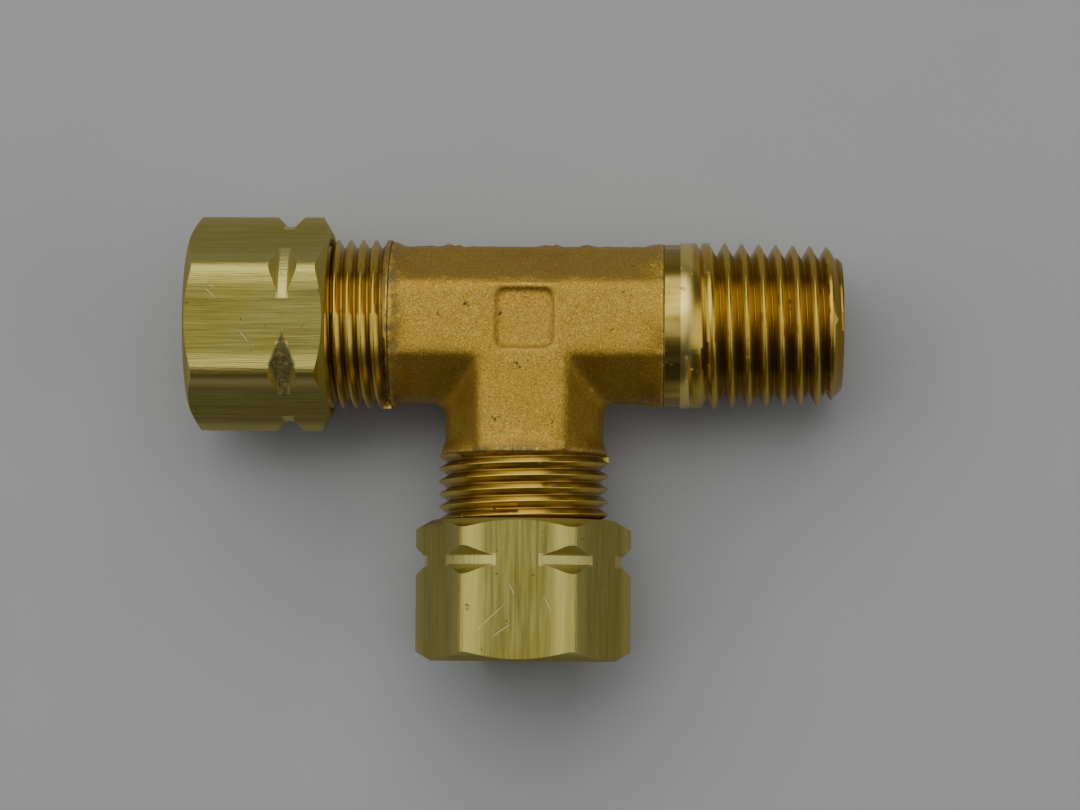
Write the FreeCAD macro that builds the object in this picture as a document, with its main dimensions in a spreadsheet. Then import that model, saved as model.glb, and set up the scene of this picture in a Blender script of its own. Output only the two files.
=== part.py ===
"""Brass male run tee with two compression ports and one male pipe thread, as a parametric document.

The origin is where the run and branch axes cross. The run lies along X: its pipe thread points to +X
and its compression port to -X. The branch is a second compression port and points to -Y. Each
compression port holds a loose sleeve (ferrule) that is trapped by a hexagon nut on a real thread.
All lengths are in millimetres and all angles in degrees.
"""

import FreeCAD, Part
import math
import os

import Sketcher

SHEET = "Sizes"
SIZES = {
    # Tube and waterway
    "tube_od": 9.525,
    "tube_gap": 0.0775,
    "waterway_dia": 7.94,
    "stop_depth": 8.0,
    # Forged tee
    "forging_half_width": 6.4,
    "forging_half_height": 6.35,
    "forging_side": 1.7,
    "run_flat_half": 3.05,
    "branch_flat_half": 3.5,
    "crotch_rad": 1.2,
    "edge_rad": 0.7,
    "side_rad": 0.6,
    "ridge_proud": 0.2,
    "ridge_half": 0.3,
    "comp_flare_under": 0.15,
    "comp_flare": 1.3,
    "pipe_flare_over": 0.05,
    "pipe_flare": 1.9,
    "flare_land": 0.3,
    "flare_curve": 2.4,
    "panel_wide": 4.5,
    "panel_tall": 4.6,
    "panel_deep": 0.3,
    "panel_draft": 40.0,
    "panel_corner": 0.6,
    "panel_off": 0.15,
    # Compression thread, 24 turns to the inch
    "comp_wall": 2.2875,
    "comp_pitch": 1.05833,
    "comp_crest_share": 0.14,
    "comp_root_share": 0.15,
    "comp_length": 9.5,
    "comp_chamfer": 0.75,
    "run_shoulder": 11.1,
    "run_first_groove": 0.3,
    "branch_shoulder": 11.0,
    "branch_first_groove": 0.05,
    "seat_half_angle": 24.0,
    "seat_mouth_wide": 1.16,
    # Pipe thread, 18 turns to the inch, on a taper of one in sixteen
    "pipe_shoulder": 11.6,
    "pipe_end": 26.3,
    "pipe_small_dia": 13.17,
    "pipe_blank_over": 0.315,
    "pipe_collar_under": 0.15,
    "pipe_collar": 1.3,
    "pipe_pitch": 1.41111,
    "pipe_crest_share": 0.08,
    "pipe_root_share": 0.04,
    "pipe_first": 4.27,
    "pipe_runout": 1.7,
    "pipe_taper": 16.0,
    "pipe_chamfer": 1.3,
    # Nut
    "nut_side": 0.8875,
    "nut_corner_rad": 1.4,
    "nut_length": 11.6,
    "nut_wall": 1.5,
    "nut_hole_gap": 0.1125,
    "nut_face_under": 0.2875,
    "nut_face_angle": 30.0,
    "nut_mouth_chamfer": 0.6,
    "nut_thread": 6.4,
    "nut_relief": 1.3,
    "nut_relief_deep": 0.3,
    "notch_centre": 3.4,
    "notch_floor": 0.7,
    "notch_floor_over": 0.2025,
    "thread_gap": 0.13,
    "thread_side_gap": 0.115,
    "run_exposed": 5.05,
    "branch_exposed": 5.4,
    "run_nut_turn": -3.0,
    "branch_nut_turn": 1.5,
    # Sleeve
    "sleeve_length": 6.35,
    "sleeve_wall": 1.12,
    "sleeve_gap": 0.0675,
    "sleeve_rear_wall": 0.32,
    "sleeve_tip_wall": 0.25,
    "sleeve_seat_gap": 0.2,
}

CUT_PAST = 1.0  # how far a cut runs past the face that it opens
GROOVE_PAST = 0.3  # how far a thread's cutter stands past the crest
HEXAGON_REACH = 0.6  # just over half a hexagon's width over corners, for each unit over flats
LEAST_CUT = 1.0  # cubic millimetres that a thread takes away at the very least


# ---------------------------------------------------------------- sizes that stay bound to the sheet


class Size:
    """A number with the expression that works it out from the sheet, so that features can be bound to it."""

    def __init__(self, value, text):
        self.value = value
        self.text = text

    def __add__(self, other):
        other = as_size(other)
        return Size(self.value + other.value, f"({self.text} + {other.text})")

    def __sub__(self, other):
        other = as_size(other)
        return Size(self.value - other.value, f"({self.text} - {other.text})")

    def __mul__(self, other):
        other = as_size(other)
        return Size(self.value * other.value, f"({self.text} * {other.text})")

    def __truediv__(self, other):
        other = as_size(other)
        return Size(self.value / other.value, f"({self.text} / {other.text})")

    def __neg__(self):
        return Size(-self.value, f"(-1 * {self.text})")


def as_size(number):
    """The number itself if it is a Size, or a Size that holds a plain number."""
    return number if isinstance(number, Size) else Size(float(number), f"({number})")


def size(alias):
    """The driving dimension of that name."""
    return Size(SIZES[alias], f"{SHEET}.{alias}")


def tangent(angle):
    """The tangent of an angle in degrees."""
    return Size(math.tan(math.radians(angle.value)), f"tan({angle.text})")


def arc_tangent(slope):
    """The angle in degrees whose tangent is slope."""
    return Size(math.degrees(math.atan(slope.value)), f"(atan({slope.text}) / 1 deg)")


def whole(number):
    """The nearest whole number."""
    return Size(float(round(number.value)), f"round({number.text})")


def bind(feature, name, number):
    """Sets a feature's property and ties it to the sheet."""
    feature.setExpression(name, as_size(number).text)


# ---------------------------------------------------------------- document helpers


def make_sheet(doc):
    """The spreadsheet of driving dimensions: one row each, with its name beside it."""
    sheet = doc.addObject("Spreadsheet::Sheet", SHEET)
    for row, (alias, value) in enumerate(SIZES.items(), start=1):
        sheet.set(f"A{row}", alias)
        sheet.set(f"B{row}", str(value))
        sheet.setAlias(f"B{row}", alias)
    doc.recompute()
    return sheet


def origin_feature(body, role):
    """The body's own origin plane or axis of that role."""
    return next(f for f in body.Origin.OriginFeatures if f.Role == role)


def arc_middle(start, end, radius):
    """A point half way along the arc from start to end, which bows to the left if radius is positive."""
    run = end - start
    half = run.Length / 2
    sag = abs(radius) - math.sqrt(radius * radius - half * half)
    left = FreeCAD.Vector(-run.y, run.x, 0).normalize()
    return (start + end) / 2 + left * math.copysign(sag, radius)


def outline(body, name, plane, corners, height=None):
    """A closed sketch through corners. A corner is (across, up), or (across, up, radius) where the edge
    that leaves it is an arc of that radius, bowed to the left if the radius is positive."""
    sketch = body.newObject("Sketcher::SketchObject", name)
    sketch.AttachmentSupport = [(origin_feature(body, plane), "")]
    sketch.MapMode = "FlatFace"
    if height is not None:
        sketch.setExpression(".AttachmentOffset.Base.z", as_size(height).text)
    corners = [tuple(as_size(number) for number in corner) for corner in corners]
    points = [FreeCAD.Vector(corner[0].value, corner[1].value, 0) for corner in corners]
    count = len(corners)
    for index, corner in enumerate(corners):
        start, end = points[index], points[(index + 1) % count]
        if len(corner) == 3:
            middle = arc_middle(start, end, corner[2].value)
            sketch.addGeometry(Part.Arc(start, middle, end), False)
        else:
            sketch.addGeometry(Part.LineSegment(start, end), False)
    ends = [edge_ends(sketch, index, points[index]) for index in range(count)]
    for index in range(count):
        following = (index + 1) % count
        sketch.addConstraint(
            Sketcher.Constraint("Coincident", index, ends[index][1], following, ends[following][0])
        )
    for index, corner in enumerate(corners):
        place_corner(sketch, index, ends[index][0], corner)
    return sketch


def edge_ends(sketch, index, start):
    """Which of an edge's two end points (1 or 2) is its start along the outline, and which its end."""
    first = sketch.getPoint(index, 1)
    return (1, 2) if first.distanceToPoint(start) < 1e-6 else (2, 1)


def place_corner(sketch, index, end, corner):
    """Holds one corner of an outline at its sizes, and the radius of the arc that leaves it."""
    for kind, number in zip(("DistanceX", "DistanceY"), corner):
        made = sketch.addConstraint(Sketcher.Constraint(kind, index, end, number.value))
        sketch.setExpression(f"Constraints[{made}]", number.text)
    if len(corner) == 3:
        radius = Size(abs(corner[2].value), f"abs({corner[2].text})")
        made = sketch.addConstraint(Sketcher.Constraint("Radius", index, radius.value))
        sketch.setExpression(f"Constraints[{made}]", radius.text)


def pad(body, name, sketch, length, symmetric=False):
    """Extrudes a sketch along its normal, or half each way where symmetric."""
    feature = body.newObject("PartDesign::Pad", name)
    feature.Profile = sketch
    feature.SideType = "Symmetric" if symmetric else "One side"
    bind(feature, "Length", length)
    return feature


def turned(body, name, kind, sketch, axis):
    """Turns a sketch a full turn about one of the body's axes: a Revolution adds, a Groove cuts."""
    feature = body.newObject("PartDesign::" + kind, name)
    feature.Profile = sketch
    feature.ReferenceAxis = (origin_feature(body, axis), [""])
    feature.Angle = 360.0
    return feature


def helix_cut(body, name, sketch, axis, pitch, height):
    """Cuts a right-hand thread of even size: the sketch follows a helix backwards along a body's axis."""
    feature = body.newObject("PartDesign::SubtractiveHelix", name)
    feature.Profile = sketch
    feature.ReferenceAxis = (origin_feature(body, axis), [""])
    feature.Mode = "pitch-height-angle"
    bind(feature, "Pitch", pitch)
    bind(feature, "Height", height)
    feature.Reversed = True
    return feature


def taper_cut(body, name, sketch, start, along_x, pitch, height, slope):
    """Cuts a right-hand thread whose depth changes: the sketch, which starts on the +Y side, follows a
    helix on a cone about the X axis. start is its (position, radius), along_x is 1 or -1 and slope is the
    cone's rise."""
    spine = body.Document.addObject("Part::Helix", name + "_spine")
    position, radius = start
    bind(spine, "Pitch", pitch)
    bind(spine, "Height", height)
    bind(spine, "Radius", radius)
    bind(spine, "Angle", arc_tangent(slope))
    axis = FreeCAD.Vector(along_x, 0, 0)
    spine.Placement = frame_along(FreeCAD.Vector(0, 1, 0), axis)
    spine.setExpression(".Placement.Base.x", position.text)
    body.Document.recompute()
    feature = body.newObject("PartDesign::SubtractivePipe", name)
    feature.Profile = sketch
    feature.Spine = (spine, [f"Edge{n}" for n in range(1, len(spine.Shape.Edges) + 1)])
    feature.Mode = "Binormal"
    feature.Binormal = axis
    return feature


def rounded(body, name, base, radius, chosen):
    """Rounds those edges of the base feature for which chosen(edge) is true."""
    body.Document.recompute()
    names = [f"Edge{n}" for n, edge in enumerate(base.Shape.Edges, start=1) if chosen(edge)]
    if not names:
        raise RuntimeError(f"{name}: no edge to round")
    feature = body.newObject("PartDesign::Fillet", name)
    feature.Base = (base, names)
    bind(feature, "Radius", radius)
    return feature


def edge_direction(edge):
    """The unit vector along a straight edge, or None where the edge is curved."""
    if not isinstance(edge.Curve, Part.Line):
        return None
    first, last = edge.Vertexes[0].Point, edge.Vertexes[-1].Point
    return (last - first).normalize()


# ---------------------------------------------------------------- sizes that follow from others


def socket_rad():
    """The radius of a port's tube socket."""
    return size("tube_od") / 2 + size("tube_gap")


def comp_crest():
    """The radius over the crests of the compression thread."""
    return size("tube_od") / 2 + size("comp_wall")


def comp_depth():
    """The depth of the compression thread."""
    return thread_depth(size("comp_pitch"), size("comp_crest_share"), size("comp_root_share"))


def pipe_blank_rad():
    """The radius of the pipe end's plain band, from which its thread is cut."""
    return size("pipe_small_dia") / 2 + size("pipe_blank_over")


def pipe_collar_rad():
    """The radius of the collar between the forging and the plain band."""
    return pipe_blank_rad() - size("pipe_collar_under")


def nut_half():
    """Half a nut's width over flats."""
    return comp_crest() + size("nut_side")


def nut_hole_rad():
    """The radius of a nut's tube hole."""
    return size("tube_od") / 2 + size("nut_hole_gap")


def nut_minor():
    """The radius of the crests of the nut's inside thread."""
    return comp_crest() - comp_depth() + size("thread_gap")


# ---------------------------------------------------------------- thread profiles


def thread_depth(pitch, crest_share, root_share):
    """The depth of a sixty-degree thread whose crest and root flats are these shares of its pitch."""
    return (as_size(1) - crest_share - root_share) * pitch / tangent(as_size(30)) / 2


def thread_cutter(middle, crest, depth, floor, pitch, outward, along):
    """Corners of a sixty-degree thread groove. It is centred on middle, opens at radius crest and ends
    depth below it. outward is 1 for an outside thread and -1 for an inside one, and along(position, radius)
    turns the two into a corner of the sketch. The flanks run a little past the crest, half way to where they
    would meet the next turn's, so that no corner lies on the surface that is cut."""
    slope = tangent(as_size(30))
    half_floor = floor / 2
    half_cut = half_floor + depth * slope
    half_mouth = (half_cut + pitch / 2) / 2
    lip = crest + (half_mouth - half_cut) / slope * outward
    floor_rad = crest - depth * outward
    overshoot = crest + GROOVE_PAST * outward
    return [
        along(middle - half_mouth, overshoot),
        along(middle - half_mouth, lip),
        along(middle - half_floor, floor_rad),
        along(middle + half_floor, floor_rad),
        along(middle + half_mouth, lip),
        along(middle + half_mouth, overshoot),
    ]


# ---------------------------------------------------------------- the tee


def tee_plan(half_run, half_branch, left, right, foot):
    """Corners of the tee's outline seen from above, the run along X and the branch towards -Y."""
    return [
        (-left, half_run),
        (-left, -half_run),
        (-half_branch, -half_run),
        (-half_branch, -foot),
        (half_branch, -foot),
        (half_branch, -half_run),
        (right, -half_run),
        (right, half_run),
    ]


def forged_tee(body):
    """The forged middle of the tee: a slab with upright sides and a sloped block above and below it."""
    half_width = size("forging_half_width")
    side = size("forging_side")
    half_height = size("forging_half_height")
    ends = (size("run_shoulder"), size("pipe_shoulder"), size("branch_shoulder"))
    wide = tee_plan(half_width, half_width, *ends)
    narrow = tee_plan(size("run_flat_half"), size("branch_flat_half"), *ends)
    pad(body, "slab", outline(body, "slab_plan", "XY_Plane", wide), side * 2, symmetric=True)
    body.Document.recompute()
    block = None
    for name, sign in (("upper", 1), ("lower", -1)):
        low = outline(body, name + "_wide_plan", "XY_Plane", wide, side * sign)
        high = outline(body, name + "_flat_plan", "XY_Plane", narrow, half_height * sign)
        block = body.newObject("PartDesign::AdditiveLoft", name + "_block")
        block.Profile = low
        block.Sections = [high]
        block.Ruled = True
        body.Document.recompute()
    return round_forging(body, block)


def round_forging(body, block):
    """Rounds the forging: the two crotches first, then its long edges."""
    half_width = SIZES["forging_half_width"]
    side = SIZES["forging_side"]
    half_height = SIZES["forging_half_height"]
    run_flat, branch_flat = SIZES["run_flat_half"], SIZES["branch_flat_half"]

    def in_crotch(edge):
        """True for the upright and sloped edges where run and branch meet."""
        direction = edge_direction(edge)
        if direction is None or abs(direction.z) < 0.2:
            return False
        middle = edge.CenterOfMass
        share = max(0.0, (abs(middle.z) - side) / (half_height - side))
        branch_half = half_width + (branch_flat - half_width) * share
        run_half = half_width + (run_flat - half_width) * share
        return abs(abs(middle.x) - branch_half) < 0.05 and abs(middle.y + run_half) < 0.05

    def is_long_at(height):
        """A test for level edges at that height which don't lie in an end face."""

        def test(edge):
            heights = [vertex.Point.z for vertex in edge.Vertexes]
            level = all(abs(abs(z) - height) < 1e-4 for z in heights)
            return level and not in_end_face(edge)

        return test

    crotches = rounded(body, "crotch_rounds", block, size("crotch_rad"), in_crotch)
    sides = rounded(body, "side_rounds", crotches, size("side_rad"), is_long_at(side))
    return rounded(body, "flat_rounds", sides, size("edge_rad"), is_long_at(half_height))


def in_end_face(edge):
    """True if an edge lies in one of the forging's three end faces."""
    points = [vertex.Point for vertex in edge.Vertexes]
    planes = (
        ("x", -SIZES["run_shoulder"]),
        ("x", SIZES["pipe_shoulder"]),
        ("y", -SIZES["branch_shoulder"]),
    )
    return any(all(abs(getattr(p, axis) - at) < 1e-4 for p in points) for axis, at in planes)


def parting_ridge(body):
    """The trimmed flash line that stands a little proud all round the forging at mid height."""
    proud = size("ridge_proud")
    half = size("forging_half_width") + proud
    rad = size("crotch_rad") - proud
    left, right, foot = size("run_shoulder"), size("pipe_shoulder"), size("branch_shoulder")
    plan = [
        (-left, half),
        (-left, -half),
        (-half - rad, -half, rad),
        (-half, -half - rad),
        (-half, -foot),
        (half, -foot),
        (half, -half - rad, rad),
        (half + rad, -half),
        (right, -half),
        (right, half),
    ]
    sketch = outline(body, "ridge_plan", "XY_Plane", plan)
    return pad(body, "parting_ridge", sketch, size("ridge_half") * 2, symmetric=True)


def panel(body):
    """The shallow bare square with sloping walls that is sunk into the upper flat."""
    half_wide, half_tall = size("panel_wide") / 2, size("panel_tall") / 2
    spread = size("panel_deep") * tangent(size("panel_draft"))
    off = size("panel_off")
    corner = size("panel_corner")

    def square(grow):
        """Corners of the square with its four corners cut by arcs, grown all round."""
        right, left = half_wide + grow + off, off - half_wide - grow
        top, foot = half_tall + grow, -half_tall - grow
        rad = corner + grow
        return [
            (right, foot + rad),
            (right, top - rad, -rad),
            (right - rad, top),
            (left + rad, top, -rad),
            (left, top - rad),
            (left, foot + rad, -rad),
            (left + rad, foot),
            (right - rad, foot, -rad),
        ]

    top_at = size("forging_half_height")
    floor = outline(body, "panel_floor", "XY_Plane", square(as_size(0)), top_at - size("panel_deep"))
    mouth = outline(body, "panel_mouth", "XY_Plane", square(spread), top_at)
    recess = body.newObject("PartDesign::SubtractiveLoft", "panel")
    recess.Profile = mouth
    recess.Sections = [floor]
    recess.Ruled = True
    return recess


def compression_end(body, name, axis, along, shoulder):
    """The turned outside of a compression port with the flare that joins it to the forging."""
    end = shoulder + size("comp_length")
    crest = comp_crest()
    chamfer = size("comp_chamfer")
    peak = crest - size("comp_flare_under")
    land = shoulder - size("flare_land")
    foot_rad = size("forging_half_height") - size("ridge_half")
    profile = [
        along(land - size("comp_flare"), as_size(0)),
        along(end, as_size(0)),
        along(end, crest - chamfer),
        along(end - chamfer, crest),
        along(shoulder, crest),
        along(shoulder, peak),
        (*along(land, peak), size("flare_curve") * along.bow),
        along(land - size("comp_flare"), foot_rad),
    ]
    return turned(body, name, "Revolution", outline(body, name + "_profile", "XY_Plane", profile), axis)


def compression_bore(body, name, axis, along, shoulder):
    """The seat cone, tube socket and waterway of a compression port."""
    end = shoulder + size("comp_length")
    socket = socket_rad()
    mouth = socket + size("seat_mouth_wide")
    seat_foot = end - (mouth - socket) / tangent(size("seat_half_angle"))
    stop = end - size("stop_depth")
    water = size("waterway_dia") / 2
    beyond = end + CUT_PAST
    profile = [
        along(as_size(0), as_size(0)),
        along(beyond, as_size(0)),
        along(beyond, mouth),
        along(end, mouth),
        along(seat_foot, socket),
        along(stop, socket),
        along(stop, water),
        along(as_size(0), water),
    ]
    return turned(body, name, "Groove", outline(body, name + "_profile", "XY_Plane", profile), axis)


def compression_thread(body, name, axis, along, first, shoulder):
    """The outside thread of a compression port, from beside the shoulder out past the end."""
    pitch = size("comp_pitch")
    root = size("comp_root_share") * pitch
    profile = thread_cutter(shoulder + first, comp_crest(), comp_depth(), root, pitch, 1, along)
    sketch = outline(body, name + "_profile", "XY_Plane", profile)
    height = size("comp_length") - first + pitch
    return helix_cut(body, name, sketch, axis, pitch, height)


def pipe_end(body, along):
    """The turned outside of the pipe-thread end: a collar, a long taper and an end chamfer."""
    shoulder, end = size("pipe_shoulder"), size("pipe_end")
    small, blank, collar = size("pipe_small_dia") / 2, pipe_blank_rad(), pipe_collar_rad()
    side_taper = size("pipe_taper") * 2
    chamfer = size("pipe_chamfer")
    taper_foot = end - (blank - small) * side_taper
    peak = collar + size("pipe_flare_over")
    band = shoulder + size("pipe_collar")
    land = shoulder - size("flare_land")
    foot_rad = size("forging_half_height") - size("ridge_half")
    profile = [
        along(land - size("pipe_flare"), as_size(0)),
        along(end, as_size(0)),
        along(end, small + chamfer / side_taper - chamfer),
        along(end - chamfer, small + chamfer / side_taper),
        along(taper_foot, blank),
        along(band, blank),
        along(band, collar),
        along(shoulder, collar),
        along(shoulder, peak),
        (*along(land, peak), size("flare_curve") * along.bow),
        along(land - size("pipe_flare"), foot_rad),
    ]
    sketch = outline(body, "pipe_end_profile", "XZ_Plane", profile)
    return turned(body, "pipe_end", "Revolution", sketch, "X_Axis")


def pipe_bore(body, along):
    """The waterway from the tee's middle out through the pipe-thread end."""
    water = size("waterway_dia") / 2
    beyond = size("pipe_end") + CUT_PAST
    profile = [
        along(as_size(0), as_size(0)),
        along(beyond, as_size(0)),
        along(beyond, water),
        along(as_size(0), water),
    ]
    sketch = outline(body, "pipe_bore_profile", "XY_Plane", profile)
    return turned(body, "pipe_bore", "Groove", sketch, "X_Axis")


def pipe_thread(body, along):
    """The tapered thread, cut both ways from one groove: outwards on the taper, inwards until it runs out."""
    middle = size("pipe_shoulder") + size("pipe_first")
    side_taper = size("pipe_taper") * 2
    crest = size("pipe_small_dia") / 2 + (size("pipe_end") - middle) / side_taper
    pitch = size("pipe_pitch")
    root = size("pipe_root_share") * pitch
    depth = thread_depth(pitch, size("pipe_crest_share"), size("pipe_root_share"))
    profile = thread_cutter(middle, crest, depth, root, pitch, 1, along)
    length = size("pipe_end") - middle + pitch
    runout = size("pipe_runout") * pitch
    ways = (
        ("pipe_thread", 1, length, as_size(-1) / side_taper),
        ("pipe_runout", -1, runout, depth / runout),
    )
    for name, along_x, height, slope in ways:
        sketch = outline(body, name + "_profile", "XY_Plane", profile)
        taper_cut(body, name, sketch, (middle, crest), along_x, pitch, height, slope)
        body.Document.recompute()


class Port:
    """Turns a distance along a port's axis and a radius into a point of a sketch on the XY plane."""

    def __init__(self, place, bow):
        self.place = place
        self.bow = bow

    def __call__(self, position, radius):
        return self.place(as_size(position), as_size(radius))


RUN_PORT = Port(lambda position, radius: (-position, radius), 1)
RUN_THREAD = Port(lambda position, radius: (-position, -radius), -1)
BRANCH_PORT = Port(lambda position, radius: (-radius, -position), 1)
BRANCH_THREAD = Port(lambda position, radius: (radius, -position), -1)
PIPE_PORT = Port(lambda position, radius: (position, radius), -1)


def make_tee(doc):
    """The one-piece forged and machined tee."""
    body = doc.addObject("PartDesign::Body", "tee_body")
    body.Label = "tee_body"
    forged_tee(body)
    parting_ridge(body)
    ports = (
        ("run", "X_Axis", RUN_PORT, RUN_THREAD, size("run_shoulder")),
        ("branch", "Y_Axis", BRANCH_PORT, BRANCH_THREAD, size("branch_shoulder")),
    )
    for name, axis, along, _, shoulder in ports:
        compression_end(body, name + "_end", axis, along, shoulder)
        doc.recompute()
    pipe_end(body, PIPE_PORT)
    doc.recompute()
    panel(body)
    doc.recompute()
    for name, axis, along, _, shoulder in ports:
        compression_bore(body, name + "_bore", axis, along, shoulder)
        doc.recompute()
    pipe_bore(body, PIPE_PORT)
    doc.recompute()
    for name, axis, _, along, shoulder in ports:
        first = size(name + "_first_groove")
        compression_thread(body, name + "_thread", axis, along, first, shoulder)
        doc.recompute()
    pipe_thread(body, PIPE_PORT)
    doc.recompute()
    return body


# ---------------------------------------------------------------- nuts and sleeves


def in_port(position, radius):
    """A point of a sketch on a part's own XZ plane, whose Z axis is the port's axis."""
    return (as_size(radius), as_size(position))


def nut_end_distance(shoulder, exposed):
    """How far a nut's outer end lies from the tee's middle."""
    return shoulder + exposed + size("nut_length")


def make_nut(doc, name, shoulder, exposed, first, turn, placement):
    """A hexagon nut, modelled along its port's axis with Z at zero in the tee's middle."""
    body = doc.addObject("PartDesign::Body", name)
    body.Label = name
    mouth = shoulder + exposed
    end = mouth + size("nut_length")
    hexagon(body, mouth, turn)
    nut_outside(body, mouth, end)
    nut_inside(body, mouth, end)
    nut_thread(body, shoulder + first, mouth)
    body.Placement = placement
    return body


def hexagon(body, mouth, turn):
    """The bar-stock hexagon with its six rounded corners."""
    corner = nut_half() / Size(math.cos(math.radians(30)), "cos(30)")
    corners = []
    for number in range(6):
        angle = turn + 60 * number
        radians = math.radians(angle.value)
        across = corner * Size(math.cos(radians), f"cos({angle.text})")
        up = corner * Size(math.sin(radians), f"sin({angle.text})")
        corners.append((across, up))
    bar = pad(body, "bar", outline(body, "hexagon", "XY_Plane", corners, mouth), size("nut_length"))

    def is_upright(edge):
        """True for the six long edges of the bar."""
        direction = edge_direction(edge)
        return direction is not None and abs(direction.z) > 0.99

    rounded(body, "corner_rounds", bar, size("nut_corner_rad"), is_upright)
    body.Document.recompute()


def nut_outside(body, mouth, end):
    """The turned chamfers on both ends and the shallow groove that nicks the six corners."""
    face_rad = nut_half() - size("nut_face_under")
    outer_rad = nut_half() * 2 * HEXAGON_REACH
    back = (outer_rad - face_rad) * tangent(size("nut_face_angle"))
    ends = (
        ("mouth_chamfer", mouth, back),
        ("end_chamfer", end, -back),
    )
    for name, at, inward in ends:
        profile = [in_port(at, face_rad), in_port(at, outer_rad), in_port(at + inward, outer_rad)]
        turned(body, name, "Groove", outline(body, name + "_profile", "XZ_Plane", profile), "Z_Axis")
        body.Document.recompute()
    centre = mouth + size("notch_centre")
    half_floor = size("notch_floor") / 2
    floor_rad = nut_half() + size("notch_floor_over")
    half_mouth = half_floor + outer_rad - floor_rad
    profile = [
        in_port(centre - half_mouth, outer_rad),
        in_port(centre - half_floor, floor_rad),
        in_port(centre + half_floor, floor_rad),
        in_port(centre + half_mouth, outer_rad),
    ]
    turned(body, "corner_notches", "Groove", outline(body, "notch_profile", "XZ_Plane", profile), "Z_Axis")
    body.Document.recompute()


def nut_inside(body, mouth, end):
    """The tube hole, the cone that drives the sleeve, the thread's bore, its relief and the mouth."""
    hole = nut_hole_rad()
    minor = nut_minor()
    wall = end - size("nut_wall")
    relief = comp_crest() + size("nut_relief_deep")
    relief_foot = mouth + size("nut_thread")
    relief_end = relief_foot + size("nut_relief")
    lead_in = comp_crest() + size("thread_gap")
    profile = [
        in_port(mouth - CUT_PAST, as_size(0)),
        in_port(end + CUT_PAST, as_size(0)),
        in_port(end + CUT_PAST, hole),
        in_port(wall, hole),
        in_port(wall - (minor - hole), minor),
        in_port(relief_end, minor),
        in_port(relief_end, relief),
        in_port(relief_foot, relief),
        in_port(relief_foot, minor),
        in_port(mouth + size("nut_mouth_chamfer"), minor),
        in_port(mouth, lead_in),
        in_port(mouth - CUT_PAST, lead_in),
    ]
    turned(body, "inside", "Groove", outline(body, "inside_profile", "XZ_Plane", profile), "Z_Axis")
    body.Document.recompute()


def nut_thread(body, first_groove, mouth):
    """The inside thread, in mesh with the port's. It starts on the opposite side from the port's thread,
    where half a turn puts the port's ridges a whole number of pitches from that thread's first groove."""
    pitch = size("comp_pitch")
    relief_middle = mouth + size("nut_thread") + size("nut_relief") / 2
    turns = whole((relief_middle - first_groove) / pitch)
    middle = first_groove + turns * pitch
    sharp = size("comp_crest_share") * pitch - size("thread_gap") * tangent(as_size(30)) * 2
    floor = sharp + size("thread_side_gap") * 2
    profile = thread_cutter(middle, nut_minor(), comp_depth(), floor, pitch, -1, in_port)
    sketch = outline(body, "thread_profile", "XZ_Plane", profile)
    height = middle - mouth + pitch
    helix_cut(body, "thread", sketch, "Z_Axis", pitch, height)
    body.Document.recompute()


def make_sleeve(doc, name, shoulder, exposed, placement):
    """The loose sleeve: a steep rear cone for the nut and a long front cone for the seat."""
    body = doc.addObject("PartDesign::Body", name)
    body.Label = name
    wall = nut_end_distance(shoulder, exposed) - size("nut_wall")
    bore = size("tube_od") / 2 + size("sleeve_gap")
    outer = bore + size("sleeve_wall")
    tip_rad = bore + size("sleeve_tip_wall")
    rear_rad = bore + size("sleeve_rear_wall")
    rear = wall - (rear_rad - nut_hole_rad()) - size("sleeve_seat_gap")
    tip = rear - size("sleeve_length")
    front_cone = (outer - tip_rad) / tangent(size("seat_half_angle"))
    profile = [
        in_port(tip, bore),
        in_port(tip, tip_rad),
        in_port(tip + front_cone, outer),
        in_port(rear - (outer - rear_rad), outer),
        in_port(rear, rear_rad),
        in_port(rear, bore),
    ]
    turned(body, "sleeve", "Revolution", outline(body, "profile", "XZ_Plane", profile), "Z_Axis")
    body.Document.recompute()
    body.Placement = placement
    return body


def frame_along(across, axis):
    """The placement whose X axis is across and whose Z axis is the port's axis."""
    third = axis.cross(across)
    matrix = FreeCAD.Matrix(
        across.x, third.x, axis.x, 0,
        across.y, third.y, axis.y, 0,
        across.z, third.z, axis.z, 0,
        0, 0, 0, 1,
    )
    return FreeCAD.Placement(matrix)


# ---------------------------------------------------------------- build and check


def check(doc, bodies):
    """Stops the build if any object failed, a thread took nothing away or a body isn't one valid solid."""
    for thing in doc.Objects:
        if "Invalid" in thing.State or "Error" in thing.State:
            raise RuntimeError(f"{thing.Name} failed: {thing.State}")
    threads = doc.findObjects("PartDesign::SubtractiveHelix") + doc.findObjects("PartDesign::SubtractivePipe")
    for thread in threads:
        before, after = thread.BaseFeature.Shape.Volume, thread.Shape.Volume
        if before - after < LEAST_CUT:
            raise RuntimeError(f"{thread.Name} took nothing away")
    for body in bodies:
        shape = body.Shape
        if shape.isNull() or not shape.isValid() or len(shape.Solids) != 1:
            raise RuntimeError(f"{body.Label} isn't one valid solid")


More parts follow.
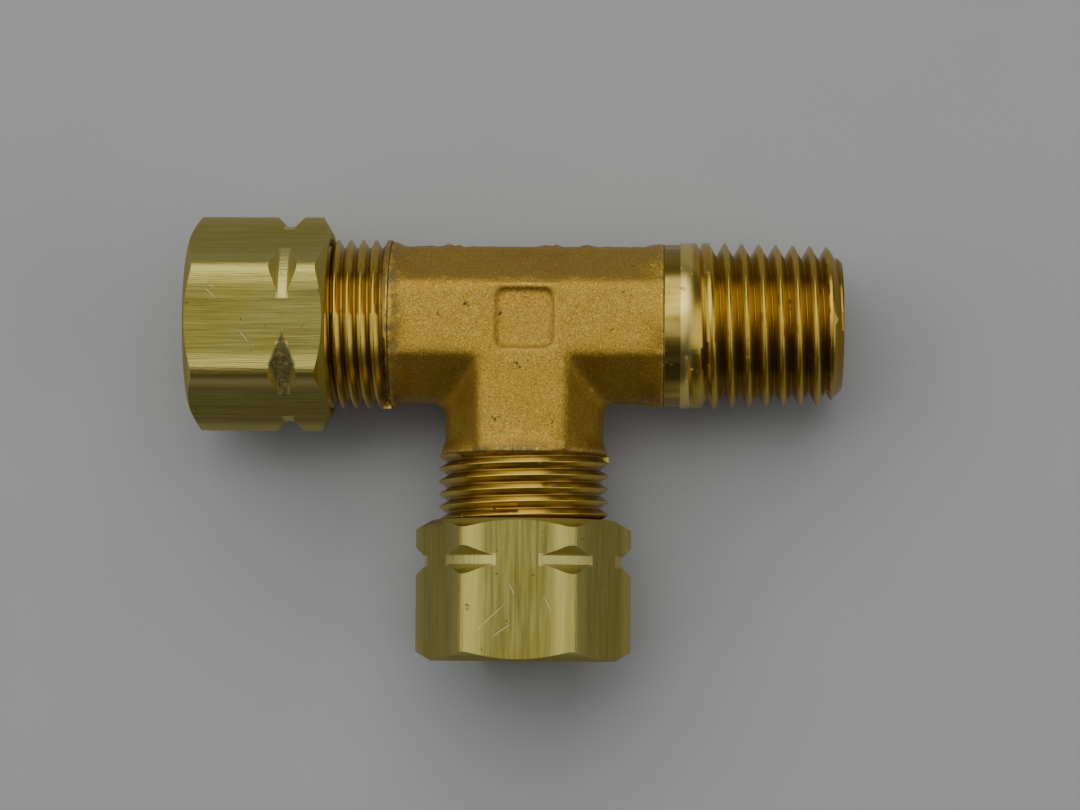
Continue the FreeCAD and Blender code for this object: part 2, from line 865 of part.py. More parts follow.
def main():
    doc = FreeCAD.newDocument("male_run_tee")
    make_sheet(doc)
    x_axis, y_axis = FreeCAD.Vector(1, 0, 0), FreeCAD.Vector(0, 1, 0)
    run_frame = frame_along(y_axis, -x_axis)
    branch_frame = frame_along(-x_axis, -y_axis)
    run = (size("run_shoulder"), size("run_exposed"))
    branch = (size("branch_shoulder"), size("branch_exposed"))
    run_nut = (*run, size("run_first_groove"), size("run_nut_turn"), run_frame)
    branch_nut = (*branch, size("branch_first_groove"), size("branch_nut_turn"), branch_frame)
    bodies = [
        make_tee(doc),
        make_nut(doc, "run_nut", *run_nut),
        make_nut(doc, "branch_nut", *branch_nut),
        make_sleeve(doc, "run_sleeve", *run, run_frame),
        make_sleeve(doc, "branch_sleeve", *branch, branch_frame),
    ]
    doc.recompute()
    check(doc, bodies)
    os.makedirs("parts", exist_ok=True)
    for body in bodies:
        body.Shape.exportStep(os.path.join("parts", body.Label + ".step"))
        print(body.Label, round(body.Shape.Volume, 2), "mm3")


main()
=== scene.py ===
"""Looks of a brass compression run tee: two drawn-bar nuts, two sleeves and a forged, machined body.

Everything is in metres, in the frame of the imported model: the run lies along X, its pipe thread points
to +X and the branch points to -Y. Textures are laid out in millimetres on each piece's own coordinates.
"""

import bmesh
import bpy
import math
import numpy as np
from mathutils import Matrix, Vector, noise


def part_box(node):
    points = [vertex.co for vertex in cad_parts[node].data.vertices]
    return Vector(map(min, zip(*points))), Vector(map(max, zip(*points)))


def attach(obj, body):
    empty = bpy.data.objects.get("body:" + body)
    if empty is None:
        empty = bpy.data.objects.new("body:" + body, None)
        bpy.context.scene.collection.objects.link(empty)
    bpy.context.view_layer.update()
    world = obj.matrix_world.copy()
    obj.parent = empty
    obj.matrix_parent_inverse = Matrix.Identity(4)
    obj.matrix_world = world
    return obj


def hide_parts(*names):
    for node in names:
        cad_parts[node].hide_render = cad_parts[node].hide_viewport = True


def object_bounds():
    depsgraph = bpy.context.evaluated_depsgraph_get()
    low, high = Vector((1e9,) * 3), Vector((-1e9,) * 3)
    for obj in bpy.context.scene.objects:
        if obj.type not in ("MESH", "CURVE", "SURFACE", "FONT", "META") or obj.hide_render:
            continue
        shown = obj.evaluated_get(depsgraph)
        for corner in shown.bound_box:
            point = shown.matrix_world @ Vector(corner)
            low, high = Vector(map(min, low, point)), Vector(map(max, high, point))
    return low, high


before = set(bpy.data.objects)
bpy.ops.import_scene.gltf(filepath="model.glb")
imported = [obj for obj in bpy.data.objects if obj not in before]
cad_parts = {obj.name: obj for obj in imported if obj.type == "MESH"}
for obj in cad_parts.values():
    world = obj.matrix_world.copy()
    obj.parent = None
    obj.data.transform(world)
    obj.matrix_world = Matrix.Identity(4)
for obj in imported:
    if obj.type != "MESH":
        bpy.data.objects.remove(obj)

CAD_BOX = [list(corner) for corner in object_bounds()]
MM = 0.001

# Lengths of the part, in millimetres: a port's thread, the pipe end, the middle of a nut to its flats, and
# a nut's mouth, where it takes the tee, to the middle of its notches
PORT_LENGTH = 9.5
PIPE_LENGTH = 14.7
NUT_FLAT = 7.94
MOUTH_TO_NOTCH = 3.4

# Planes and radii that the finishes change at, in millimetres, worked out from the nodes' boxes
TEE_LOW, TEE_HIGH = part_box("tee_body")
CREST = TEE_HIGH.y / MM
RUN_SHOULDER = -TEE_LOW.x / MM - PORT_LENGTH
BRANCH_SHOULDER = -TEE_LOW.y / MM - PORT_LENGTH
PIPE_SHOULDER = TEE_HIGH.x / MM - PIPE_LENGTH
RUN_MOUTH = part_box("run_nut")[1].x / MM
BRANCH_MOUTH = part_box("branch_nut")[1].y / MM
RUN_NOTCH = RUN_MOUTH - MOUTH_TO_NOTCH
BRANCH_NOTCH = BRANCH_MOUTH - MOUTH_TO_NOTCH


# ---------------------------------------------------------------- a short way to write shader nodes


# The thin coat on all the brass, a scratch's width, and the heights between which a scratch comes in
COAT_WEIGHT, COAT_ROUGHNESS = 0.14, 0.4
SCRATCH_WIDTH = 0.035
UPPER_SIDE = (5.0, 6.0)


class Paint:
    """A material under construction, coated metal to start with, and the few node kinds it is made of."""

    def __init__(self, name):
        self.material = bpy.data.materials.new(name)
        self.material.use_nodes = True
        self.nodes = self.material.node_tree.nodes
        self.links = self.material.node_tree.links
        self.shader = self.nodes["Principled BSDF"]
        self.shader.inputs["Metallic"].default_value = 1.0
        self.shader.inputs["Coat Weight"].default_value = COAT_WEIGHT
        self.shader.inputs["Coat Roughness"].default_value = COAT_ROUGHNESS
        coordinates = self.nodes.new("ShaderNodeTexCoord").outputs["Object"]
        self.place = self.scaled(coordinates, (1 / MM, 1 / MM, 1 / MM))
        self.x, self.y, self.z = self.split(self.place)
        geometry = self.nodes.new("ShaderNodeNewGeometry")
        self.normal = geometry.outputs["Normal"]
        self.pointiness = geometry.outputs["Pointiness"]

    def wire(self, socket, value):
        """Links a node's output to a socket, or sets the socket to a plain value."""
        if isinstance(value, bpy.types.NodeSocket):
            self.links.new(value, socket)
        else:
            socket.default_value = value

    def math(self, operation, first, second=0.0):
        node = self.nodes.new("ShaderNodeMath")
        node.operation = operation
        self.wire(node.inputs[0], first)
        self.wire(node.inputs[1], second)
        return node.outputs[0]

    def radius(self, first, second):
        """The distance from the axis that two coordinates are measured from."""
        return self.math("SQRT", self.math("ADD", self.both(first, first), self.both(second, second)))

    def distance(self, value, place):
        return self.math("ABSOLUTE", self.math("SUBTRACT", value, place))

    def outside(self, mask):
        return self.math("SUBTRACT", 1.0, mask)

    def scaled(self, vector, factors):
        node = self.nodes.new("ShaderNodeVectorMath")
        node.operation = "MULTIPLY"
        self.wire(node.inputs[0], vector)
        node.inputs[1].default_value = factors
        return node.outputs[0]

    def split(self, vector):
        node = self.nodes.new("ShaderNodeSeparateXYZ")
        self.wire(node.inputs[0], vector)
        return tuple(node.outputs)

    def step(self, value, low, high):
        """Rises smoothly from 0 to 1 while value goes from low to high; low may be the larger one."""
        node = self.nodes.new("ShaderNodeMapRange")
        node.interpolation_type = "SMOOTHSTEP"
        self.wire(node.inputs["Value"], value)
        flip = low > high
        node.inputs["From Min"].default_value = high if flip else low
        node.inputs["From Max"].default_value = low if flip else high
        node.inputs["To Min"].default_value = 1.0 if flip else 0.0
        node.inputs["To Max"].default_value = 0.0 if flip else 1.0
        return node.outputs["Result"]

    def both(self, *masks):
        """The product of masks, coordinates or plain shares."""
        product = masks[0]
        for mask in masks[1:]:
            product = self.math("MULTIPLY", product, mask)
        return product

    def either(self, *masks):
        largest = masks[0]
        for mask in masks[1:]:
            largest = self.math("MAXIMUM", largest, mask)
        return largest

    def noise(self, per_mm, detail=3.0, roughness=0.55, stretch=(1, 1, 1), warp=0.0):
        """Noise with per_mm cells to the millimetre, made longer along an axis by a small stretch factor."""
        node = self.nodes.new("ShaderNodeTexNoise")
        self.wire(node.inputs["Vector"], self.scaled(self.place, stretch))
        node.inputs["Scale"].default_value = per_mm
        node.inputs["Detail"].default_value = detail
        node.inputs["Roughness"].default_value = roughness
        node.inputs["Distortion"].default_value = warp
        return node.outputs["Fac"]

    def cells(self, per_mm):
        """The distance to the nearest of scattered points, per_mm of them to the millimetre."""
        node = self.nodes.new("ShaderNodeTexVoronoi")
        self.wire(node.inputs["Vector"], self.place)
        node.inputs["Scale"].default_value = per_mm
        return node.outputs["Distance"]

    def mix(self, amount, first, second):
        """Goes from the first colour to the second as amount goes from 0 to 1."""
        node = self.nodes.new("ShaderNodeMix")
        node.data_type = "RGBA"
        self.wire(node.inputs["Factor"], amount)
        for socket, colour in ((node.inputs["A"], first), (node.inputs["B"], second)):
            self.wire(socket, colour if isinstance(colour, bpy.types.NodeSocket) else (*colour, 1.0))
        return node.outputs["Result"]

    def blend(self, amount, first, second):
        """Goes from the first number to the second as amount goes from 0 to 1."""
        node = self.nodes.new("ShaderNodeMix")
        self.wire(node.inputs["Factor"], amount)
        self.wire(node.inputs["A"], first)
        self.wire(node.inputs["B"], second)
        return node.outputs["Result"]

    def scratch(self, start, end):
        """A mask along the line between two (x, y) points on the upper side, in millimetres."""
        (x0, y0), (x1, y1) = start, end
        long = math.hypot(x1 - x0, y1 - y0)
        ux, uy = (x1 - x0) / long, (y1 - y0) / long
        dx, dy = self.math("SUBTRACT", self.x, x0), self.math("SUBTRACT", self.y, y0)
        along = self.math("ADD", self.math("MULTIPLY", dx, ux), self.math("MULTIPLY", dy, uy))
        off = self.math("SUBTRACT", self.math("MULTIPLY", dx, uy), self.math("MULTIPLY", dy, ux))
        inside = self.both(self.step(along, 0.0, long * 0.3), self.step(along, long, long * 0.6))
        near = self.step(self.math("ABSOLUTE", off), SCRATCH_WIDTH * 2, SCRATCH_WIDTH * 0.5)
        return self.both(inside, near, self.step(self.z, *UPPER_SIDE))

    def bump(self, height, depth, under=None):
        """Raises the surface by up to depth millimetres where height is 1."""
        node = self.nodes.new("ShaderNodeBump")
        node.inputs["Distance"].default_value = depth * MM
        self.wire(node.inputs["Height"], height)
        if under is not None:
            self.wire(node.inputs["Normal"], under)
        return node.outputs["Normal"]

    def finish(self, colour, roughness, normal):
        self.wire(self.shader.inputs["Base Color"], colour)
        self.wire(self.shader.inputs["Roughness"], roughness)
        self.wire(self.shader.inputs["Normal"], normal)
        return self.material


def shade(*parts):
    """A linear colour from display values between 0 and 255."""
    return tuple((part / 255) ** 2.2 for part in parts)


# ---------------------------------------------------------------- finishes


# Where the tee's finish changes, in millimetres. LINE is half the width of the change at a shoulder. Each
# pair is where a mask starts and where it is full: along X or Y from a shoulder, in from a thread's crest
# (PORT_ROOT), or the radius itself (PIPE_ROOT)
LINE = 0.05
# The two root pairs bound the painted shade in the threads' roots
PORT_ROOT = (0.15, 0.6)
PIPE_ROOT = (6.6, 5.7)
COLLAR = (1.35, 1.25)
# The band's pair bounds a painted highlight on the pipe end beside the collar
HIGHLIGHT_BAND = (2.5, 2.1)
RUN_SOOT = ((-0.9, -0.3), (1.3, 0.3))
BRANCH_SOOT = ((-0.5, 0.0), (0.9, 0.0))


def soot_at(paint, along, shoulder, reach):
    """A mask of a dirty line round a port's shoulder, which fades out over reach's pairs on its two sides."""
    before, after = ([-shoulder + part for part in side] for side in reach)
    return paint.both(paint.step(along, *before), paint.step(along, *after))


def tee_finish():
    """Speckled, pitted forged brass with machined, oiled threads and a bright band beside the collar. The
    paler convex edges are rubbed wear and also a painted highlight, the creases and the thread roots carry
    painted shade, and the bright band is a painted highlight.
    """
    paint = Paint("forged_brass")
    x, y, z = paint.x, paint.y, paint.z
    run = paint.step(x, -RUN_SHOULDER + LINE, -RUN_SHOULDER - LINE)
    branch = paint.step(y, -BRANCH_SHOULDER + LINE, -BRANCH_SHOULDER - LINE)
    pipe = paint.step(x, PIPE_SHOULDER - LINE, PIPE_SHOULDER + LINE)
    machined = paint.either(run, branch, pipe)

    radius = paint.blend(branch, paint.radius(y, z), paint.radius(x, z))
    # Masks of the thread roots, which are painted darker: painted shade in the grooves
    root_shade = paint.both(paint.either(run, branch), paint.step(radius, *(CREST - depth for depth in PORT_ROOT)))
    pipe_root_shade = paint.both(pipe, paint.step(radius, *PIPE_ROOT))

    grain = paint.noise(6.5, 5.0, 0.75)
    fine = paint.noise(14.0, 3.0, 0.7)
    patches = paint.noise(0.28, 4.0, 0.6)
    sparks = paint.step(paint.cells(4.2), 0.30, 0.12)
    pits = paint.step(paint.noise(1.5, 4.0, 0.65), 0.66, 0.76)

    forged = paint.mix(paint.step(grain, 0.28, 0.76), shade(140, 109, 38), shade(196, 163, 68))
    forged = paint.mix(paint.both(sparks, paint.step(fine, 0.45, 0.65)), forged, shade(255, 226, 120))
    forged = paint.mix(paint.both(paint.step(patches, 0.5, 0.75), 0.35), forged, shade(150, 104, 26))
    # Convex edges are painted paler: partly rubbed wear, partly a painted highlight where the rounded edges
    # catch the light
    worn_and_highlit = paint.step(paint.pointiness, 0.503, 0.53)
    # Concave creases are painted darker: painted shade where less light reaches
    crease_shade = paint.step(paint.pointiness, 0.497, 0.475)
    # Painted highlight and wear on the convex edges, with near-white painted glints where the specks fall on
    # them
    forged = paint.mix(paint.both(worn_and_highlit, 0.25), forged, shade(226, 190, 92))
    forged = paint.mix(paint.both(worn_and_highlit, sparks), forged, shade(255, 228, 140))
    # Painted shade in the creases
    forged = paint.mix(paint.both(crease_shade, 0.45), forged, shade(96, 70, 20))
    forged = paint.mix(paint.both(pits, 0.7), forged, shade(60, 42, 12))

    turned = paint.mix(paint.noise(0.5, 3.0), shade(168, 137, 46), shade(200, 172, 78))
    collar = paint.both(pipe, paint.step(x, *(PIPE_SHOULDER + out for out in COLLAR)))
    tarnish = paint.noise(0.55, 2.0, 0.5, stretch=(0.15, 1, 1))
    # A band of the pipe end beside the collar is painted paler: a painted highlight, the streak of light the
    # turned band catches
    highlight_band = paint.both(pipe, paint.step(x, *(PIPE_SHOULDER + out for out in HIGHLIGHT_BAND)))
    turned = paint.mix(paint.both(highlight_band, 0.6), turned, shade(236, 214, 126))
    turned = paint.mix(paint.both(collar, paint.step(tarnish, 0.25, 0.55)), turned, shade(150, 128, 56))
    # Painted shade in the roots of the port threads and the pipe thread
    turned = paint.mix(paint.both(root_shade, 0.55), turned, shade(96, 58, 6))
    turned = paint.mix(paint.both(pipe_root_shade, 0.5), turned, shade(100, 64, 10))
    colour = paint.mix(machined, forged, turned)

    run_soot = soot_at(paint, x, RUN_SHOULDER, RUN_SOOT)
    branch_soot = soot_at(paint, y, BRANCH_SHOULDER, BRANCH_SOOT)
    soot = paint.both(paint.either(run_soot, branch_soot), paint.step(paint.noise(1.1, 5.0, 0.7), 0.40, 0.62))
    colour = paint.mix(paint.both(soot, 0.7), colour, shade(112, 104, 82))

    rough = paint.blend(machined, paint.blend(grain, 0.62, 0.38), paint.blend(fine, 0.24, 0.38))
    rough = paint.blend(paint.either(pits, soot), rough, 0.75)
    relief = paint.both(paint.math("ADD", grain, paint.both(fine, 0.5)), paint.outside(machined))
    normal = paint.bump(relief, 0.045)
    rings = paint.noise(7.0, 2.0, 0.5, stretch=(1, 0.02, 0.02))
    normal = paint.bump(paint.both(rings, machined), 0.008, normal)
    normal = paint.bump(paint.outside(pits), 0.10, normal)
    return paint.finish(colour, rough, normal)


# Where a nut's finish changes, in millimetres. Each pair is where a mask starts and where it is full: out
# from the radius of the flats, or from the middle of a notch (STRIP_HALF). NUT_STREAK draws the noise out
# along the bar
RUBBED_CORNER = (0.28, 0.75)
NUT_INSIDE = (-0.25, -0.45)
STRIP_OUT = (0.17, 0.20)
STRIP_HALF = (0.55, 0.40)
NUT_STREAK = 0.035


def nut_finish(name, along_x, grit_at, scratches):
    """Drawn hexagon bar, streaked along its length, with turned ends, rubbed corners and bright strips in
    its notches. grit_at(paint) is a mask of where dull grit lies, and scratches are the ends of each."""
    paint = Paint(name)
    along, across = (paint.x, paint.y) if along_x else (paint.y, paint.x)
    stretch = (NUT_STREAK, 1, 1) if along_x else (1, NUT_STREAK, 1)
    notch = RUN_NOTCH if along_x else BRANCH_NOTCH
    radius = paint.radius(across, paint.z)
    corner = paint.step(radius, *(NUT_FLAT + out for out in RUBBED_CORNER))
    inside = paint.step(radius, *(NUT_FLAT + out for out in NUT_INSIDE))
    facing = paint.math("ABSOLUTE", paint.split(paint.normal)[0 if along_x else 1])
    turned = paint.step(facing, 0.35, 0.6)

    streaks = paint.noise(4.2, 4.0, 0.6, stretch)
    hairlines = paint.noise(9.0, 2.0, 0.6, stretch)
    patches = paint.noise(0.22, 4.0, 0.6)
    grain = paint.noise(6.0, 3.0, 0.7)
    nicks = paint.step(paint.noise(1.3, 3.0, 0.6, warp=0.6), 0.68, 0.78)

    colour = paint.mix(paint.step(streaks, 0.25, 0.75), shade(134, 125, 62), shade(157, 148, 80))
    colour = paint.mix(paint.both(paint.step(patches, 0.45, 0.7), 0.45), colour, shade(148, 130, 48))
    colour = paint.mix(paint.both(corner, 0.55), colour, shade(196, 180, 98))
    colour = paint.mix(paint.both(turned, 0.5), colour, shade(176, 164, 84))
    colour = paint.mix(paint.both(inside, 0.5), colour, shade(180, 136, 34))
    colour = paint.mix(paint.both(nicks, 0.5), colour, shade(92, 78, 40))
    strip = paint.step(paint.distance(along, notch), *STRIP_HALF)
    strip = paint.both(strip, paint.step(radius, *(NUT_FLAT + out for out in STRIP_OUT)))
    colour = paint.mix(paint.both(strip, 0.65), colour, shade(206, 194, 118))

    grit = paint.both(grit_at(paint), paint.step(paint.noise(2.4, 5.0, 0.75), 0.22, 0.60))
    colour = paint.mix(paint.both(grit, 0.8), colour, shade(88, 84, 62))
    scored = paint.either(*(paint.scratch(*ends) for ends in scratches))
    colour = paint.mix(paint.both(scored, 0.7), colour, shade(236, 226, 160))

    rough = paint.blend(paint.step(streaks, 0.3, 0.7), 0.72, 0.58)
    rough = paint.blend(corner, rough, 0.40)
    rough = paint.blend(strip, rough, 0.42)
    rough = paint.blend(paint.either(nicks, grit), rough, 0.8)
    normal = paint.bump(paint.math("ADD", streaks, paint.both(hairlines, 0.8)), 0.035)
    normal = paint.bump(grain, 0.008, normal)
    normal = paint.bump(paint.outside(paint.either(nicks, scored)), 0.04, normal)
    normal = paint.bump(paint.both(grit, grain), 0.15, normal)
    return paint.finish(colour, rough, normal)


# The dirt on each nut and the ends of its scratches, in millimetres on the part, or from the branch nut's
# mouth (BRUISE_FROM_MOUTH)
GRIT_Y = -4.0
GRIT_HALF = (1.25, 2.9)
GRIT_TOP = (4.5, 5.0)
BRUISE_X = (-5.9, -6.8)
BRUISE_FROM_MOUTH = (-0.75, -0.2)
RUN_NUT_SCRATCHES = (
    ((-26.0, 2.3), (-24.9, 1.3)),
    ((-25.7, 2.5), (-25.0, 2.2)),
    ((-23.1, -1.2), (-22.2, -2.3)),
)
BRANCH_NUT_SCRATCHES = (
    ((-3.6, -25.6), (-1.0, -23.2)),
    ((-2.3, -26.1), (-0.6, -24.9)),
    ((1.9, -22.6), (2.6, -24.0)),
    ((-0.9, -21.6), (-0.4, -22.7)),
)


def run_nut_grit(paint):
    """A diamond of grit that has caught in the corner notch on the nut's upper, branch side."""
    across = paint.math("DIVIDE", paint.distance(paint.x, RUN_NOTCH), GRIT_HALF[0])
    along = paint.math("DIVIDE", paint.distance(paint.y, GRIT_Y), GRIT_HALF[1])
    diamond = paint.math("ADD", across, along)
    return paint.both(paint.step(diamond, 1.0, 0.72), paint.step(paint.z, *GRIT_TOP))


def branch_nut_grit(paint):
    """A bruised, dirty spot on the corner at the nut's mouth."""
    beside_mouth = paint.step(paint.y, *(BRANCH_MOUTH + back for back in BRUISE_FROM_MOUTH))
    return paint.both(paint.step(paint.x, *BRUISE_X), beside_mouth)


def sleeve_finish():
    """Clean turned brass with fine tool rings."""
    paint = Paint("sleeve_brass")
    tone = paint.noise(0.6, 3.0)
    colour = paint.mix(tone, shade(226, 180, 84), shade(250, 214, 124))
    rings = paint.noise(8.0, 2.0, 0.5, (1, 1, 0.05))
    return paint.finish(colour, paint.blend(tone, 0.2, 0.32), paint.bump(rings, 0.006))


def paint_nodes():
    """Gives each CAD node its finish, in all of its object's material slots."""
    finishes = {
        "tee_body": tee_finish(),
        "run_nut": nut_finish("nut_brass", True, run_nut_grit, RUN_NUT_SCRATCHES),
        "branch_nut": nut_finish("nut_brass_branch", False, branch_nut_grit, BRANCH_NUT_SCRATCHES),
    }
    sleeve = sleeve_finish()
    finishes["run_sleeve"] = sleeve
    finishes["branch_sleeve"] = sleeve
    for node, material in finishes.items():
        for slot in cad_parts[node].material_slots:
            slot.material = material


# ---------------------------------------------------------------- the tee's forged middle and machined ends

# In millimetres: how far inside the shoulders the cut runs, how far its box reaches, the size of the remade
# mesh's cells, and the distances from a shoulder over which the wear comes in
CUT_INSIDE = 0.02
BOX_REACH = 10
VOXEL = 0.14
EDGE_KEEP = (0.15, 1.1)

# Half the size of the panel and of the parting ridge, and a radius a little over the bore's, in millimetres
PANEL_HALF = 2.9
RIDGE_HALF = 0.75
BORE_SKIN = 4.6

# The rounds of wear, the share that each round moves a point, and how much of that the panel and ridge take
WEAR_ROUNDS = 44
WEAR_SHARE = 0.7
PANEL_WEAR = 0.12
RIDGE_WEAR = 0.25

# The skin's slow waves, its fine scale and the ragged flash: cells to the millimetre, and height in
# millimetres. The last is the layer of noise that the flash is taken from
SKIN_WAVES = (0.45, 0.035)
SKIN_SCALE = (2.3, 0.012)
FLASH_RAGGED = (1.7, 0.13)
FLASH_LAYER = 4.0

# Lumps of flash on the side away from the branch, in millimetres: place along X, reach to each side, height
LUMPS_FROM_Y = 5.5
FLASH_LUMPS = (
    (-6.4, 0.9, 0.20),
    (-5.6, 0.4, 0.14),
    (1.6, 0.7, 0.16),
    (2.6, 0.6, 0.22),
    (5.2, 1.1, 0.15),
)


def copy_of_tee(name):
    """A new object with the tee's own mesh and place."""
    tee = bpy.data.objects.new(name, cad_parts["tee_body"].data.copy())
    bpy.context.scene.collection.objects.link(tee)
    return tee


def middle_box():
    """A closed box round the forged middle, which stops just inside the three shoulders."""
    low = Vector((-RUN_SHOULDER + CUT_INSIDE, -BRANCH_SHOULDER + CUT_INSIDE, -BOX_REACH)) * MM
    high = Vector((PIPE_SHOULDER - CUT_INSIDE, BOX_REACH, BOX_REACH)) * MM
    mesh = bpy.data.meshes.new("middle_box")
    shape = bmesh.new()
    bmesh.ops.create_cube(shape, size=1.0)
    bmesh.ops.scale(shape, vec=high - low, verts=shape.verts)
    bmesh.ops.translate(shape, vec=(low + high) / 2, verts=shape.verts)
    shape.to_mesh(mesh)
    shape.free()
    box = bpy.data.objects.new("middle_box", mesh)
    bpy.context.scene.collection.objects.link(box)
    return box


def settle(piece):
    """Replaces a piece's mesh with what its modifiers make of it."""
    made = piece.evaluated_get(bpy.context.evaluated_depsgraph_get())
    mesh = bpy.data.meshes.new_from_object(made)
    piece.modifiers.clear()
    piece.data = mesh


def cut_with(piece, box, operation):
    """Keeps what lies inside the box (INTERSECT) or outside it (DIFFERENCE), closed at the cuts."""
    cut = piece.modifiers.new("cut", "BOOLEAN")
    cut.solver = "EXACT"
    cut.operation = operation
    cut.object = box
    settle(piece)


def rise(value, low, high):
    """0 below low, 1 above high and smooth between."""
    share = np.clip((value - low) / (high - low), 0.0, 1.0)
    return share * share * (3.0 - 2.0 * share)


def freedom(places):
    """How free each point is to move, from 0 near the three shoulders and in the run's bore to 1."""
    x, y, z = places.T
    gap = np.minimum(np.minimum(x + RUN_SHOULDER, PIPE_SHOULDER - x), y + BRANCH_SHOULDER)
    return np.where(np.hypot(y, z) < BORE_SKIN, 0.0, rise(gap, *EDGE_KEEP))


def softened(places, edges):
    """The points of a fine mesh after its edges are worn soft, in millimetres. The panel and the parting
    ridge are worn less than the rest."""
    x, y, z = places.T
    in_panel = (np.abs(x) < PANEL_HALF) & (np.abs(y) < PANEL_HALF) & (z > 0)
    on_ridge = np.abs(z) < RIDGE_HALF
    free = freedom(places)
    free = np.where(in_panel, free * PANEL_WEAR, free)
    free = np.where(on_ridge, free * RIDGE_WEAR, free)[:, None]
    first, second = edges.T
    count = len(places)
    shared = np.bincount(first, minlength=count) + np.bincount(second, minlength=count)
    shared = np.maximum(shared, 1)[:, None]
    for _ in range(WEAR_ROUNDS):
        total = np.empty_like(places)
        for axis in range(3):
            total[:, axis] = np.bincount(first, places[second, axis], count)
            total[:, axis] += np.bincount(second, places[first, axis], count)
        places = places + (total / shared - places) * free * WEAR_SHARE
    return places


def lumps_at(x):
    return sum(height * math.exp(-(((x - middle) / reach) ** 2) * 4) for middle, reach, height in FLASH_LUMPS)


def parting_flash(place):
    """The ragged flash along the parting line, highest in the middle of its ridge."""
    if abs(place.z) >= RIDGE_HALF:
        return 0.0
    per_mm, height = FLASH_RAGGED
    ragged = max(0.0, noise.noise(Vector((place.x * per_mm, place.y * per_mm, FLASH_LAYER)))) * height
    lumps = lumps_at(place.x) if place.y > LUMPS_FROM_Y else 0.0
    return (ragged + lumps) * (1 - (place.z / RIDGE_HALF) ** 2)


def forged_relief(place):
    """How far the forging's skin stands out at a point, in millimetres."""
    waves, scale = (noise.noise(place * per_mm) * height for per_mm, height in (SKIN_WAVES, SKIN_SCALE))
    return waves + scale + parting_flash(place)


def make_forging():
    """The forged middle with worn edges, a slightly wavy skin and ragged flash along its parting line."""
    box = middle_box()
    middle, ends = copy_of_tee("tee_forging"), copy_of_tee("tee_machined_ends")
    cut_with(middle, box, "INTERSECT")
    cut_with(ends, box, "DIFFERENCE")
    bpy.data.objects.remove(box)
    remesh = middle.modifiers.new("remesh", "REMESH")
    remesh.mode = "VOXEL"
    remesh.voxel_size = VOXEL * MM
    settle(middle)
    mesh = middle.data
    count = len(mesh.vertices)
    places = np.empty(count * 3, np.float64)
    mesh.vertices.foreach_get("co", places)
    edges = np.empty(len(mesh.edges) * 2, np.int64)
    mesh.edges.foreach_get("vertices", edges)
    places = softened(places.reshape(-1, 3) / MM, edges.reshape(-1, 2))
    mesh.vertices.foreach_set("co", (places * MM).ravel())
    mesh.update()
    normals = np.empty(count * 3, np.float32)
    mesh.vertices.foreach_get("normal", normals)
    normals = normals.reshape(-1, 3)
    relief = np.array([forged_relief(Vector(place)) for place in places]) * freedom(places)
    mesh.vertices.foreach_set("co", ((places + normals * relief[:, None]) * MM).ravel())
    mesh.shade_smooth()
    mesh.update()
    for piece in (middle, ends):
        piece.data.materials.clear()
        piece.data.materials.append(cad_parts["tee_body"].material_slots[0].material)
        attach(piece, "tee_body")
        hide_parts("tee_body")


# ---------------------------------------------------------------- floor, light and camera

# The most tries at the resting plane and how near two of them are when it is found, how far the floor reaches
# in metres, and the plain surround
RESTING_ROUNDS, RESTING_NEAR = 20, 1e-7
FLOOR_REACH = 1.5
SURROUND_COLOUR, SURROUND_STRENGTH = (0.80, 0.82, 0.85, 1.0), 0.07

# The view: the part's tilts and turn before the camera, its lens and sensor in millimetres, and in metres
# where the camera stands from the middle of the part, along its own axes, and where its view begins
TILT_DOWN, TILT_ASIDE, TURN = math.radians(-4.366), math.radians(-1.8136), math.radians(-0.4347)
LENS, SENSOR = 112.0, 36.0
ASIDE, ABOVE, AWAY = 0.00203, 0.00283, 0.27998
NEAR_CLIP = 0.01


def lowest_touching(points, normal):
    """The point that lies furthest against the normal."""
    return min(points, key=lambda point: point.dot(normal))


def resting_plane():
    """A point and normal of the plane that the part lies on: it touches both nuts and the pipe thread."""
    run = [v.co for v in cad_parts["run_nut"].data.vertices]
    branch = [v.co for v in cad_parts["branch_nut"].data.vertices]
    pipe = [v.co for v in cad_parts["tee_body"].data.vertices if v.co.x > PIPE_SHOULDER * MM]
    normal = Vector((0, 0, 1))
    for _ in range(RESTING_ROUNDS):
        touching = [lowest_touching(points, normal) for points in (run, branch, pipe)]
        turned = (touching[1] - touching[0]).cross(touching[2] - touching[0]).normalized()
        turned = turned if turned.z > 0 else -turned
        if (turned - normal).length < RESTING_NEAR:
            break
        normal = turned
    return touching[0].copy(), normal


def floor_finish():
    """Plain pale matt paper."""
    paint = Paint("floor_paper")
    paint.shader.inputs["Metallic"].default_value = 0.0
    paint.shader.inputs["Coat Weight"].default_value = 0.0
    tone = paint.noise(0.05, 3.0)
    fibre = paint.noise(1.2, 4.0, 0.7)
    colour = paint.mix(tone, shade(150, 151, 151), shade(155, 156, 156))
    return paint.finish(colour, paint.blend(fibre, 0.8, 0.9), paint.bump(fibre, 0.02))


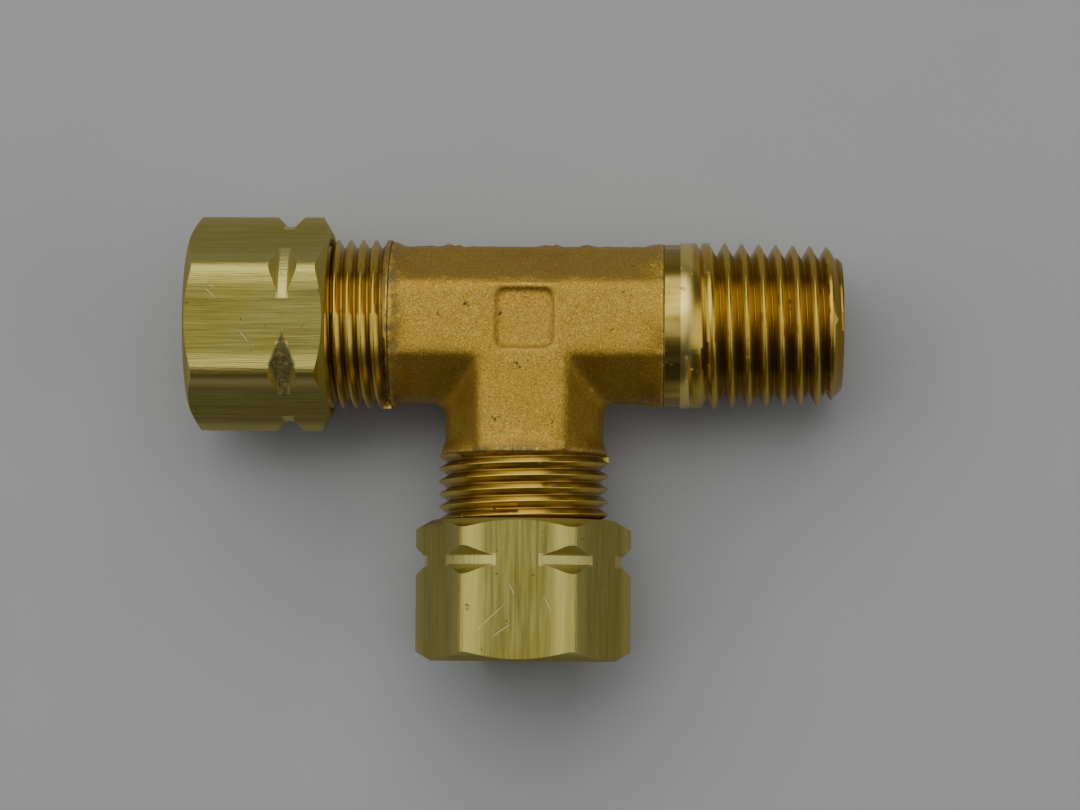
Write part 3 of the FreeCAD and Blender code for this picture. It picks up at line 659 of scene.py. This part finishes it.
def make_floor():
    """A large flat sheet of paper in the plane that the part rests on."""
    point, normal = resting_plane()
    mesh = bpy.data.meshes.new("floor")
    shape = bmesh.new()
    bmesh.ops.create_grid(shape, x_segments=8, y_segments=8, size=FLOOR_REACH)
    shape.to_mesh(mesh)
    shape.free()
    floor = bpy.data.objects.new("floor", mesh)
    bpy.context.scene.collection.objects.link(floor)
    floor.matrix_world = Matrix.Translation(point) @ normal.to_track_quat("Z", "Y").to_matrix().to_4x4()
    mesh.materials.append(floor_finish())


def add_softbox(name, place, wide, tall, power):
    """A soft rectangular light that faces the part."""
    light = bpy.data.lights.new(name, "AREA")
    light.shape = "RECTANGLE"
    light.size, light.size_y, light.energy = wide, tall, power
    lamp = bpy.data.objects.new(name, light)
    bpy.context.scene.collection.objects.link(lamp)
    lamp.location = place
    lamp.rotation_euler = (-Vector(place)).to_track_quat("-Z", "Y").to_euler()


def make_light():
    """A wide soft light above and behind the part, one overhead, one at each side and a dim surround."""
    add_softbox("key_light", (-0.14, 0.44, 0.64), 1.3, 0.80, 6.6)
    add_softbox("top_light", (0.05, 0.06, 0.85), 0.75, 0.75, 1.5)
    add_softbox("side_light", (0.62, -0.06, 0.40), 0.6, 0.5, 1.3)
    add_softbox("far_side_light", (-0.62, -0.06, 0.40), 0.6, 0.5, 1.0)
    world = bpy.data.worlds.new("surround")
    world.use_nodes = True
    world.node_tree.nodes["Background"].inputs["Color"].default_value = SURROUND_COLOUR
    world.node_tree.nodes["Background"].inputs["Strength"].default_value = SURROUND_STRENGTH
    bpy.context.scene.world = world


def make_camera():
    """A long lens almost straight above the part, turned and tilted slightly."""
    low, high = (Vector(corner) for corner in CAD_BOX)
    centre = (low + high) / 2
    tilt = Matrix.Rotation(TILT_DOWN, 3, "X") @ Matrix.Rotation(TILT_ASIDE, 3, "Y")
    to_view = tilt @ Matrix.Rotation(TURN, 3, "Z")
    camera = bpy.data.objects.new("camera", bpy.data.cameras.new("camera"))
    camera.data.lens = LENS
    camera.data.sensor_width = SENSOR
    camera.data.clip_start = NEAR_CLIP
    bpy.context.scene.collection.objects.link(camera)
    rotation = to_view.transposed()
    place = centre + rotation @ Vector((ASIDE, ABOVE, AWAY))
    camera.matrix_world = Matrix.Translation(place) @ rotation.to_4x4()
    bpy.context.scene.camera = camera


paint_nodes()
make_forging()
make_floor()
make_light()
make_camera()
